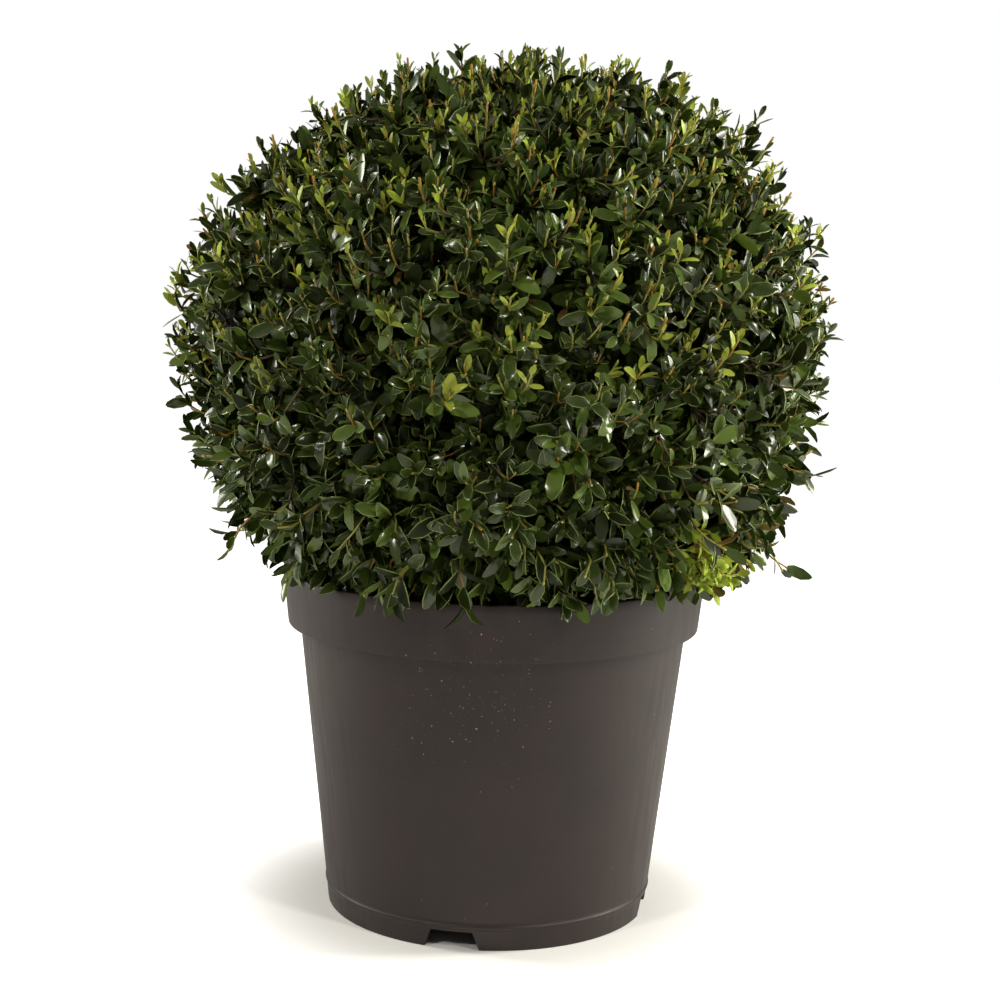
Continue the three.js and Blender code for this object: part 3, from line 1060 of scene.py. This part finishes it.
@functools.lru_cache(maxsize=None)
def sprays():
    """Every leafy shoot. Directions come from an even spiral, without those
    that end on the pot; shoots on the rim and in the bright patch are added. A
    shoot ends a little inside the outline, or stands proud of it, more often
    low down. It faces outwards, drawn strongly upwards from the middle of the
    crown up and hanging a little at its bottom, and its curve starts from the
    nearest twig's end."""
    settings = bpy.context.scene.box_ball_sprays
    rng = np.random.default_rng(settings.seed)
    heart = crown_heart()
    directions = spiral_directions(settings.spray_count, rng, 0.33)
    places, facing = outline_hits(directions)
    reach = np.hypot(places[:, 0], places[:, 1])
    over_pot = (reach < RIM_RADIUS + 1 * MM) & (places[:, 2] < POT_HEIGHT + 12 * MM)
    kept = ~over_pot
    rim_places, rim_facing = rim_spots(settings.rim_sprays, rng)
    patch_places, patch_facing = patch_spots(settings.patch_sprays, rng)
    places = np.concatenate([places[kept], rim_places, patch_places])
    facing = np.concatenate([facing[kept], rim_facing, patch_facing])
    count = len(places)
    added = np.arange(count) >= kept.sum()
    level = (places[:, 2] - heart[2]) / (CROWN_BOX[1][2] - heart[2])
    lift = graded(level, -1.0, 0.25, -0.35, 2.1) + rng.normal(0, 0.25, count)
    sideways = rng.normal(0, 0.3, (count, 3))
    along = unit(facing + lift[:, None] * [0, 0, 1] + sideways)
    clump = 8 * MM * ripple(places, 75 * MM, settings.seed + 7)
    inset = rng.uniform(3, 34, count) * MM + clump
    low = smooth_step(-0.2, -0.6, level)
    proud = rng.random(count) < mix(0.05, 0.13, low)
    inset = np.where(proud, rng.uniform(-5, 1, count) * mix(1, 4, low) * MM, inset)
    inset = np.where(added, rng.uniform(0, 6, count) * MM, inset)
    patch = np.arange(count) >= count - settings.patch_sprays
    inset = np.where(patch, rng.uniform(-9, 0, count) * MM, inset)
    tip = places - facing * inset[:, None] - along * 6 * MM
    lowest = np.where(added, 0, POT_HEIGHT + 8 * MM)
    tip[:, 2] = np.maximum(tip[:, 2], lowest)
    _, _, twigs = limb_levels()
    ends = twigs[3]
    parent = np.argmax(unit(tip - heart) @ unit(ends - heart).T, axis=1)
    start = ends[parent]
    leave = unit(ends - twigs[2])[parent]
    span = np.linalg.norm(tip - start, axis=1, keepdims=True)
    curve = (start, start + leave * span * 0.3, tip - along * np.maximum(span * 0.5, 0.02), tip)
    return {
        "curve": curve,
        "length": span[:, 0] * 1.06,
        "tip": tip,
        "along": along,
        "facing": facing,
        "level": level,
        "stray": proud & (low > 0.4),
        "patch": patch,
        "count": count,
    }


def spray_tones(data, rng):
    """Each spray's kind. Upper sprays are more often fresh, and lower ones more often mid green,
    which is painted light: the lighter tone brightens the lower crown in place of light from below.
    Those at the bright patch are its own kind."""
    draw = rng.random(data["count"])
    fresh_share = graded(data["level"], -0.5, 0.9, 0.1, 0.42)
    kind = np.where(draw < fresh_share, FRESH_SPRAY, OLD_SPRAY)
    # Painted light: lower sprays are dealt the lighter mid green more often, to brighten the
    # underside of the crown.
    mid_share = graded(data["level"], -0.8, 0.1, 0.62, 0.4)
    mid = (kind == OLD_SPRAY) & (rng.random(data["count"]) < mid_share)
    kind = np.where(mid, MID_SPRAY, kind)
    near = np.linalg.norm(data["tip"] - BRIGHT_PATCH, axis=1) < 20 * MM
    return np.where(near | data["patch"], PATCH_SPRAY, kind)


def leaf_template(stations, columns):
    """A leaf blade as a grid closed to a point at both ends: shares along the
    leaf, shares across it from -1 to 1, its triangles, and which of them are
    in the two edge strips."""
    along = np.repeat(stations_along(stations), columns)
    across = np.tile(columns_across(columns), stations)
    column = np.arange(columns - 1)
    strip = np.concatenate([np.tile(np.repeat(column, 2), stations - 1), column, column])
    edge = (columns > 3) & ((strip == 0) | (strip == columns - 2))
    triangles = capped_triangles(stations, columns, wrap=False)
    return np.append(along, [0, 1]), np.append(across, [0, 0]), triangles, edge


def stations_along(stations):
    """Places along a leaf: even steps of a circle's turn, pushed a little towards
    the ends so that those come out round."""
    turn = np.linspace(0, math.pi, stations + 2)[1:-1]
    turn = turn - 0.11 * np.sin(2 * turn)
    return (1 - np.cos(turn)) / 2


def columns_across(columns):
    """Places across a leaf: its edges and midrib, and on a leaf of five
    columns the lines just inside the edges."""
    edged = np.array([-1, -EDGE_LINE, 0, EDGE_LINE, 1])
    return edged if columns == 5 else np.linspace(-1, 1, columns)


def leaf_points(u, v, leaves):
    """Leaf blades. Half the width at a share u along is 4 u (1 - u) to the
    power 0.62, times 0.94 + 0.12 u so that it is fuller past the middle. The
    halves fold up from the midrib, their edges turn down, the blade bends back
    by curl times u squared, and it twists more towards its tip."""
    length, width = leaves["length"][:, None], leaves["width"][:, None]
    swell = (4 * u * (1 - u)) ** 0.62 * (0.94 + 0.12 * u) * width / 2
    inner = np.minimum(np.abs(v), EDGE_LINE)
    rise = leaves["fold"][:, None] * inner * swell
    rise = rise - 0.9 * (np.abs(v) - inner) * swell
    rise = rise - leaves["curl"][:, None] * length * u**2
    rise = rise + leaves["twist"][:, None] * v * swell * u
    side = np.cross(leaves["normal"], leaves["along"])
    return (
        leaves["base"][:, None, :]
        + leaves["along"][:, None, :] * (length * u)[..., None]
        + side[:, None, :] * (swell * v)[..., None]
        + leaves["normal"][:, None, :] * rise[..., None]
    )


@functools.lru_cache(maxsize=None)
def outer_leaves():
    """The leaves of every spray, in opposite pairs, each pair a quarter turn on
    from the last. From tip to base the pairs stand further apart, their leaves
    grow to full size and spread from 22 to 72 degrees off the shoot, less in
    the upper crown, where leaves are also slimmer and smaller. Low leaves
    droop. Each blade's upper side then turns a little to the light."""
    settings = bpy.context.scene.box_ball_sprays
    data = sprays()
    rng = np.random.default_rng(settings.seed + 1)
    count, pairs = data["count"], settings.pairs
    shape = (count, pairs, 2)
    level = data["level"][:, None, None]
    kind = spray_tones(data, rng)[:, None, None]
    order = np.arange(pairs) / max(pairs - 1, 1)
    distance = settings.leafy_length * order**1.35
    distance = distance * rng.uniform(0.8, 1.2, (count, 1)) * mix(1.12, 0.95, level[..., 0])
    t = 1 - np.clip(distance / data["length"][:, None], 0, 0.92)
    places = bezier(*data["curve"], t)
    shoots = bezier_slope(*data["curve"], t)
    first, second = across_vectors(shoots)
    turn = rng.uniform(0, 2 * math.pi, (count, 1)) + order * (pairs - 1) * QUARTER
    turn = turn[:, :, None] + np.array([0, math.pi]) + rng.normal(0, 0.18, shape)
    spoke = (
        first[:, :, None] * np.cos(turn)[..., None] + second[:, :, None] * np.sin(turn)[..., None]
    )
    wide = graded(level, -0.3, 0.8, 1.0, 0.76)
    spread = np.radians(mix(22, 72, order**0.6))[None, :, None] * wide
    spread = spread + rng.normal(0, 0.18, shape)
    shoots = np.broadcast_to(shoots[:, :, None], spoke.shape)
    along = unit(shoots * np.cos(spread)[..., None] + spoke * np.sin(spread)[..., None])
    facing = data["facing"][:, None, None, :]
    light = unit(facing + [0, 0, 0.55])
    droop = graded(level[..., None], -0.8, 0.3, 0.3, -0.05)
    along = unit(along - droop * np.array([0, 0, 1]) + rng.normal(0, 0.1, spoke.shape))
    normal = shoots * np.sin(spread)[..., None] - spoke * np.cos(spread)[..., None]
    normal = normal + light * rng.uniform(0.0, 0.7, shape)[..., None]
    normal = unit(normal + rng.normal(0, 0.22, spoke.shape))
    normal = unit(normal - dot(normal, along) * along)
    youngest = graded(level[..., 0], 0.1, -0.6, 0.45, 0.85)
    growth = mix(youngest, 1.0, smooth_step(0, 0.55, order))[:, :, None]
    zone = graded(level, -0.7, 0.8, 1.06, 0.92)
    vigour = rng.uniform(0.68, 1.3, (count, 1, 1))
    small = np.where(kind == PATCH_SPRAY, 0.62, 1.0)
    length = settings.leaf_length * growth * zone * vigour * small * rng.uniform(0.85, 1.15, shape)
    slim = graded(level, -0.1, 0.8, 1.0, 0.84)
    width = settings.leaf_width / settings.leaf_length * length * rng.uniform(0.85, 1.18, shape)
    tone = leaf_tones(kind, order[None, :, None], level, rng)
    beside = np.linalg.norm(data["tip"] - DRIED_PATCH, axis=1) < 26 * MM
    tone = np.where(beside[:, None, None] & (rng.random(shape) < 0.3), DRIED, tone)
    hidden = dot(normal, facing)[..., 0]
    tone = np.where((hidden < -0.12) & (tone < LIGHT), UNDERSIDE, tone)
    leaves = {
        "base": np.broadcast_to(places[:, :, None], spoke.shape) + spoke * 0.8 * MM,
        "along": along,
        "normal": normal,
        "length": length,
        "width": width * slim,
        "fold": rng.uniform(0.2, 0.9, shape),
        "curl": rng.uniform(-0.06, 0.38, shape),
        "twist": rng.normal(0, 0.25, shape),
        "tone": tone,
        "edged": (rng.random(shape) < 0.7) & (order[None, :, None] < 0.65),
    }
    bare = np.where(data["stray"], 0.35, 0.05)[:, None, None]
    present = rng.random(shape) > bare
    return clear_of_pot(picked(leaves, present))


def leaf_tones(kind, order, level, rng):
    """The tone of each leaf. Young leaves near a fresh shoot's tip are paler,
    and the bright patch is lime and light green."""
    draw = rng.random(np.broadcast_shapes(kind.shape, order.shape, (1, 1, 2)))
    tone = np.where(draw < 0.55, DEEP, MATURE)
    tone = np.where(kind == MID_SPRAY, np.where(draw < 0.6, MATURE, FRESH), tone)
    tone = np.where(kind == FRESH_SPRAY, np.where(draw < 0.5, FRESH, MATURE), tone)
    tip = (kind == FRESH_SPRAY) & (order < 0.34) & (level > -0.2)
    tone = np.where(tip, np.where((draw < 0.35) & (level > 0.1), LIME, LIGHT), tone)
    newest = (kind < FRESH_SPRAY) & (order < 0.1) & (level > 0)
    tone = np.where(newest, np.minimum(tone + 1, LIGHT), tone)
    patch = np.where(draw < 0.75, LIME, np.where(draw < 0.94, LIGHT, FRESH))
    tone = np.where(kind == PATCH_SPRAY, patch, tone)
    return np.where(rng.random(tone.shape) < 0.006, DRIED, tone)


def picked(leaves, chosen):
    """The chosen ones of a set of leaves."""
    return {key: value[chosen] for key, value in leaves.items()}


def clear_of_pot(leaves):
    """Leaves without those that would pass through the rim or into the soil,
    tried at five places along each."""
    kept = np.ones(len(leaves["length"]), bool)
    for share in np.linspace(0, 1, 5):
        place = leaves["base"] + leaves["along"] * (leaves["length"] * share)[:, None]
        reach = np.hypot(place[:, 0], place[:, 1])
        in_wall = (reach > RIM_RADIUS - 5 * MM) & (reach < RIM_RADIUS + 1.5 * MM)
        kept &= ~(in_wall & (place[:, 2] < POT_HEIGHT + 1.5 * MM))
        kept &= ~((reach < RIM_RADIUS) & (place[:, 2] < SOIL_BOX[1][2] + 1 * MM))
    return picked(leaves, kept)


@functools.lru_cache(maxsize=None)
def inner_leaves():
    """Old leaves on the twigs behind the sprays: at random shares of the way
    out, lying any way, dark and large. They close the view into the crown."""
    settings = bpy.context.scene.box_ball_sprays
    rng = np.random.default_rng(settings.seed + 2)
    heart = crown_heart()
    directions = spiral_directions(settings.inner_leaves, rng, 0.5)
    places, facing = outline_hits(directions)
    level = (places[:, 2:] - heart[2]) / (CROWN_BOX[1][2] - heart[2])
    share = 0.8 - 0.36 * rng.random((len(places), 1)) ** 1.6
    share = share + 0.08 * smooth_step(-0.1, -0.6, level)
    base = heart + (places - heart) * share
    along = unit(facing * 0.5 + rng.normal(0, 0.7, base.shape))
    normal = unit(facing + rng.normal(0, 0.45, base.shape))
    normal = unit(normal - dot(normal, along) * along)
    count = len(base)
    length = settings.leaf_length * rng.uniform(1.0, 1.4, count)
    leaves = {
        "base": base, "along": along, "normal": normal, "length": length,
        "width": length * 0.48, "fold": rng.uniform(0.2, 0.8, count),
        "curl": rng.uniform(0, 0.2, count), "twist": rng.normal(0, 0.2, count),
        "tone": np.full(count, SHADED),
    }
    return clear_of_pot(leaves)


@functools.lru_cache(maxsize=None)
def foliage_materials():
    """The dealt leaf materials, in the order of their tone numbers."""
    colours = bpy.context.scene.box_ball_leaves
    return [
        leaf_material("box_leaf_deep_glossy", colours.deep[:], 0.5, 0.15, 0.1),
        leaf_material("box_leaf_mature_glossy", colours.mature[:], 0.5, 0.85, 0.18),
        leaf_material("box_leaf_fresh_glossy", colours.fresh[:], 0.5, 0.95, 0.18),
        leaf_material("box_leaf_young_light", colours.light[:], 0.55, 0.4),
        leaf_material("box_leaf_newest_lime", colours.lime[:], 0.55, 0.25),
        leaf_material("box_leaf_matt_underside", colours.underside[:], 0.65, 0.0),
        # Painted highlight for the thin edge strips of darker leaves.
        leaf_material("box_leaf_painted_edge_highlight", colours.margin[:], 0.5, 0.4),
        leaf_material("box_leaf_old_shaded", colours.mature[:], 0.75, 0.0),
        leaf_material("box_leaf_dried", colours.dried[:], 0.8, 0.0),
    ]


def add_leaves(name, leaves, stations, columns, replaced=()):
    """Joins leaves into pieces of about equal size, none over LARGEST_PIECE triangles, from the
    bottom of the crown up."""
    u, v, triangles, edge = leaf_template(stations, columns)
    order = np.argsort(leaves["base"][:, 2], kind="stable")
    pieces = math.ceil(len(order) * len(triangles) / LARGEST_PIECE)
    for number, chosen in enumerate(np.array_split(order, pieces), start=1):
        some = picked(leaves, chosen)
        points = leaf_points(u, v, some).reshape(-1, 3)
        shape = (points, copy_triangles(triangles, len(u), len(chosen)))
        tone = np.repeat(some["tone"][:, None], len(triangles), axis=1)
        # The edge strips of darker leaves take the pale edge colour, a painted highlight where the
        # rolled-down edge would catch the light.
        tone = np.where(edge[None, :] & (tone < LIGHT), EDGE, tone)
        label = f"{name}_{number}" if pieces > 1 else name
        stands_for = replaced if number == 1 else ()
        add_piece(label, shape, foliage_materials(), stands_for, tone.ravel())


class BOXBALL_OT_twigs(bpy.types.Operator):
    """Grow the twigs and the leafy shoots, with their buds and clipped ends"""

    bl_idname = "boxball.twigs"
    bl_label = "Twigs and shoots"

    def execute(self, context):
        limbs = context.scene.box_ball_limbs
        colours = context.scene.box_ball_leaves
        woody = twig_material("last_years_box_twig", colours.twig[:], 0.7)
        green = twig_material("this_years_box_shoot", colours.shoot[:], 0.5)
        russet = twig_material("sun_browned_box_shoot", colours.russet[:], 0.6)
        _, _, twigs = limb_levels()
        shape = limb_tubes(twigs, limbs.twig_radius, limbs.shoot_radius, 9, 6)
        add_piece("twigs", shape, [woody])
        stations, sides = 7, 4
        data = sprays()
        shape = limb_tubes(
            data["curve"], limbs.shoot_radius, limbs.shoot_radius * 0.72, stations, sides
        )
        rng = np.random.default_rng(limbs.seed + 4)
        ring = np.arange(len(shape[1]) // data["count"]) // (2 * sides)
        this_year = ring >= stations - 3
        skin = np.where(rng.random(data["count"]) < BROWNED_SHARE, 2, 1)
        tone = (this_year[None, :] * skin[:, None]).ravel()
        add_piece("leafy_shoots", shape, [woody, green, russet], material_index=tone)
        self.add_ends(data, limbs, colours)
        return {"FINISHED"}

    def add_ends(self, data, limbs, colours):
        """Dried clipped ends on some shoots and pointed buds on the others."""
        rng = np.random.default_rng(limbs.seed + 5)
        clipped = rng.random(data["count"]) < graded(data["level"], -0.4, 0.6, 0.05, 0.24)
        cut = twig_material("dried_clipped_box_wood", colours.cut[:], 0.75)
        bud = twig_material("box_bud_scales", colours.straw[:], 0.6)
        for name, chosen, material, profile, reach, sides in (
            ("clipped_ends", clipped, cut, (1.0, 1.1, 1.05, 0.85), (3, 11), 6),
            ("buds", ~clipped, bud, (0.7, 1.15, 0.3), (2, 4), 4),
        ):
            tip, along = data["tip"][chosen], data["along"][chosen]
            length = rng.uniform(*reach, len(tip))[:, None, None] * MM
            share = np.linspace(0, 1, len(profile))[None, :, None]
            centres = tip[:, None] + along[:, None] * (length * share - 0.5 * MM)
            tangents = np.broadcast_to(along[:, None], centres.shape)
            radii = np.tile(np.array(profile) * limbs.shoot_radius, (len(tip), 1))
            add_piece(name, tube_mesh(centres, tangents, radii, sides), [material])


class BOXBALL_OT_leaves(bpy.types.Operator):
    """Grow the leaves of every spray"""

    bl_idname = "boxball.leaves"
    bl_label = "Leaves"

    def execute(self, context):
        leaves = outer_leaves()
        edged = leaves["edged"]
        add_leaves("edge_highlighted_spray_leaves", picked(leaves, edged), 4, 5, ["crown"])
        add_leaves("plain_spray_leaves", picked(leaves, ~edged), 4, 3)
        return {"FINISHED"}


class BOXBALL_OT_inner_leaves(bpy.types.Operator):
    """Grow the old leaves behind the sprays"""

    bl_idname = "boxball.inner_leaves"
    bl_label = "Inner leaves"

    def execute(self, context):
        add_leaves("inner_leaves", inner_leaves(), 3, 3)
        return {"FINISHED"}


# --------------------------------------------------------------- stage ---

FLOOR_HALF = 6.0


def aimed(position, target):
    """A light's matrix at a position, looking at a target."""
    look = (Vector(target) - Vector(position)).to_track_quat("-Z", "Y")
    return Matrix.Translation(position) @ look.to_matrix().to_4x4()


def add_softbox(name, position, target, size, power, colour):
    """One rectangular area light."""
    data = bpy.data.lights.new(name, "AREA")
    data.shape = "RECTANGLE"
    data.size, data.size_y = size
    data.energy = power
    data.color = colour
    add_object(name, data).matrix_world = aimed(position, target)


def add_camera(studio):
    """The camera: it stands in front at its height and looks along +Y, turned
    by yaw, then pitch, then roll about its own line of sight."""
    sin, cos = math.sin, math.cos
    forward = Vector((
        sin(studio.yaw) * cos(studio.pitch), cos(studio.yaw) * cos(studio.pitch),
        -sin(studio.pitch),
    ))
    right = Vector((cos(studio.yaw), -sin(studio.yaw), 0))
    up = right.cross(forward)
    rolled_right = right * cos(studio.roll) + up * sin(studio.roll)
    rolled_up = up * cos(studio.roll) - right * sin(studio.roll)
    data = bpy.data.cameras.new("camera")
    data.lens = studio.lens
    data.sensor_width = 36
    matrix = Matrix((rolled_right, rolled_up, -forward)).transposed().to_4x4()
    matrix.translation = (0, -studio.distance, studio.height)
    camera = add_object("camera", data)
    camera.matrix_world = matrix
    bpy.context.scene.camera = camera


def set_world(studio):
    """An even pale room: seen as white, and lighting the plant more weakly."""
    world = bpy.data.worlds.new("studio_room")
    world.use_nodes = True
    background = world.node_tree.nodes["Background"]
    seen = add_node(world, "ShaderNodeLightPath").outputs["Is Camera Ray"]
    strength = add_node(
        world, "ShaderNodeMapRange", Value=seen, To_Min=studio.sky, To_Max=1.0
    ).outputs["Result"]
    set_sockets(world, background, Color=(1, 1, 1, 1), Strength=strength)
    bpy.context.scene.world = world


class BOXBALL_OT_stage(bpy.types.Operator):
    """Set up the floor, the softboxes, the room light and the camera"""

    bl_idname = "boxball.stage"
    bl_label = "Stage"

    def execute(self, context):
        studio = context.scene.box_ball_studio
        paper, shader = new_material("matt_white_paper")
        set_sockets(paper, shader, Base_Color=linear("#F7F6F4"), Roughness=0.9)
        self.add_floor_glow(paper, shader, studio)
        square = FLOOR_HALF * np.array([[-1, -1, 0], [1, -1, 0], [1, 1, 0], [-1, 1, 0]])
        floor = add_mesh("floor", square, np.array([[0, 1, 2], [0, 2, 3]]), [paper])
        middle = (0, 0, 0.4)
        for name, position, size, power in (
            ("left_softbox", (-1.3, 0.3, 0.8), (0.3, 1.1), studio.side_power * 0.95),
            ("right_softbox", (1.3, 0.08, 0.8), (0.36, 1.1), studio.side_power * 1.5),
            ("top_softbox", (-0.15, 0.2, 1.75), (0.8, 0.6), studio.top_power),
            ("left_key", (-0.95, -1.2, 1.25), (0.22, 0.22), studio.key_power),
            ("right_key", (1.05, -1.1, 1.15), (0.22, 0.22), studio.key_power * 1.15),
        ):
            add_softbox(name, position, middle, size, power, studio.light_colour)
        set_world(studio)
        add_camera(studio)
        context.scene.view_settings.view_transform = "Standard"
        return {"FINISHED"}

    def add_floor_glow(self, paper, shader, studio):
        """The paper is lit from below beyond the pot, and only as it is seen, so
        that it stays white to the eye and sends no light up at the plant."""
        place = add_node(paper, "ShaderNodeTexCoord").outputs["Object"]
        reach = add_node(
            paper, "ShaderNodeVectorMath", {"operation": "LENGTH"}, Vector=place
        ).outputs["Value"]
        glow = add_node(
            paper, "ShaderNodeMapRange", {"interpolation_type": "SMOOTHSTEP"},
            Value=reach, From_Min=0.12, From_Max=0.27, To_Min=0.0, To_Max=studio.floor_glow,
        ).outputs["Result"]
        seen = add_node(paper, "ShaderNodeLightPath").outputs["Is Camera Ray"]
        strength = add_node(
            paper, "ShaderNodeMath", {"operation": "MULTIPLY"}, i0=glow, i1=seen
        ).outputs[0]
        set_sockets(
            paper, shader, Emission_Color=(1, 1, 1, 1), Emission_Strength=strength
        )


# -------------------------------------------------------------- add-on ---


class BOXBALL_PT_panel(bpy.types.Panel):
    """The sidebar panel that lists the settings and the steps"""

    bl_idname = "BOXBALL_PT_panel"
    bl_label = "Box Ball"
    bl_space_type = "VIEW_3D"
    bl_region_type = "UI"
    bl_category = "Box Ball"

    def draw(self, context):
        for step in STEPS:
            self.layout.operator(step.bl_idname)
        for label, group in SETTINGS.items():
            box = self.layout.box()
            box.label(text=group.__doc__)
            for key in group.__annotations__:
                box.prop(getattr(context.scene, label), key)


STEPS = (
    BOXBALL_OT_pot,
    BOXBALL_OT_soil,
    BOXBALL_OT_limbs,
    BOXBALL_OT_twigs,
    BOXBALL_OT_leaves,
    BOXBALL_OT_inner_leaves,
    BOXBALL_OT_stage,
)
SETTINGS = {
    "box_ball_pot": PotSettings,
    "box_ball_limbs": LimbSettings,
    "box_ball_sprays": SpraySettings,
    "box_ball_leaves": LeafColours,
    "box_ball_studio": StudioSettings,
}
CLASSES = tuple(SETTINGS.values()) + STEPS + (BOXBALL_PT_panel,)


def register():
    """Registers every class and hangs the settings on the scene."""
    for cls in CLASSES:
        bpy.utils.register_class(cls)
    for label, group in SETTINGS.items():
        setattr(bpy.types.Scene, label, bpy.props.PointerProperty(type=group))


def unregister():
    """Takes the settings and the classes away again."""
    for label in SETTINGS:
        delattr(bpy.types.Scene, label)
    for cls in reversed(CLASSES):
        bpy.utils.unregister_class(cls)


def main():
    """Registers the add-on and runs its steps in order."""
    register()
    bpy.ops.boxball.pot()
    bpy.ops.boxball.soil()
    bpy.ops.boxball.limbs()
    bpy.ops.boxball.twigs()
    bpy.ops.boxball.leaves()
    bpy.ops.boxball.inner_leaves()
    bpy.ops.boxball.stage()


if __name__ == "__main__":
    main()
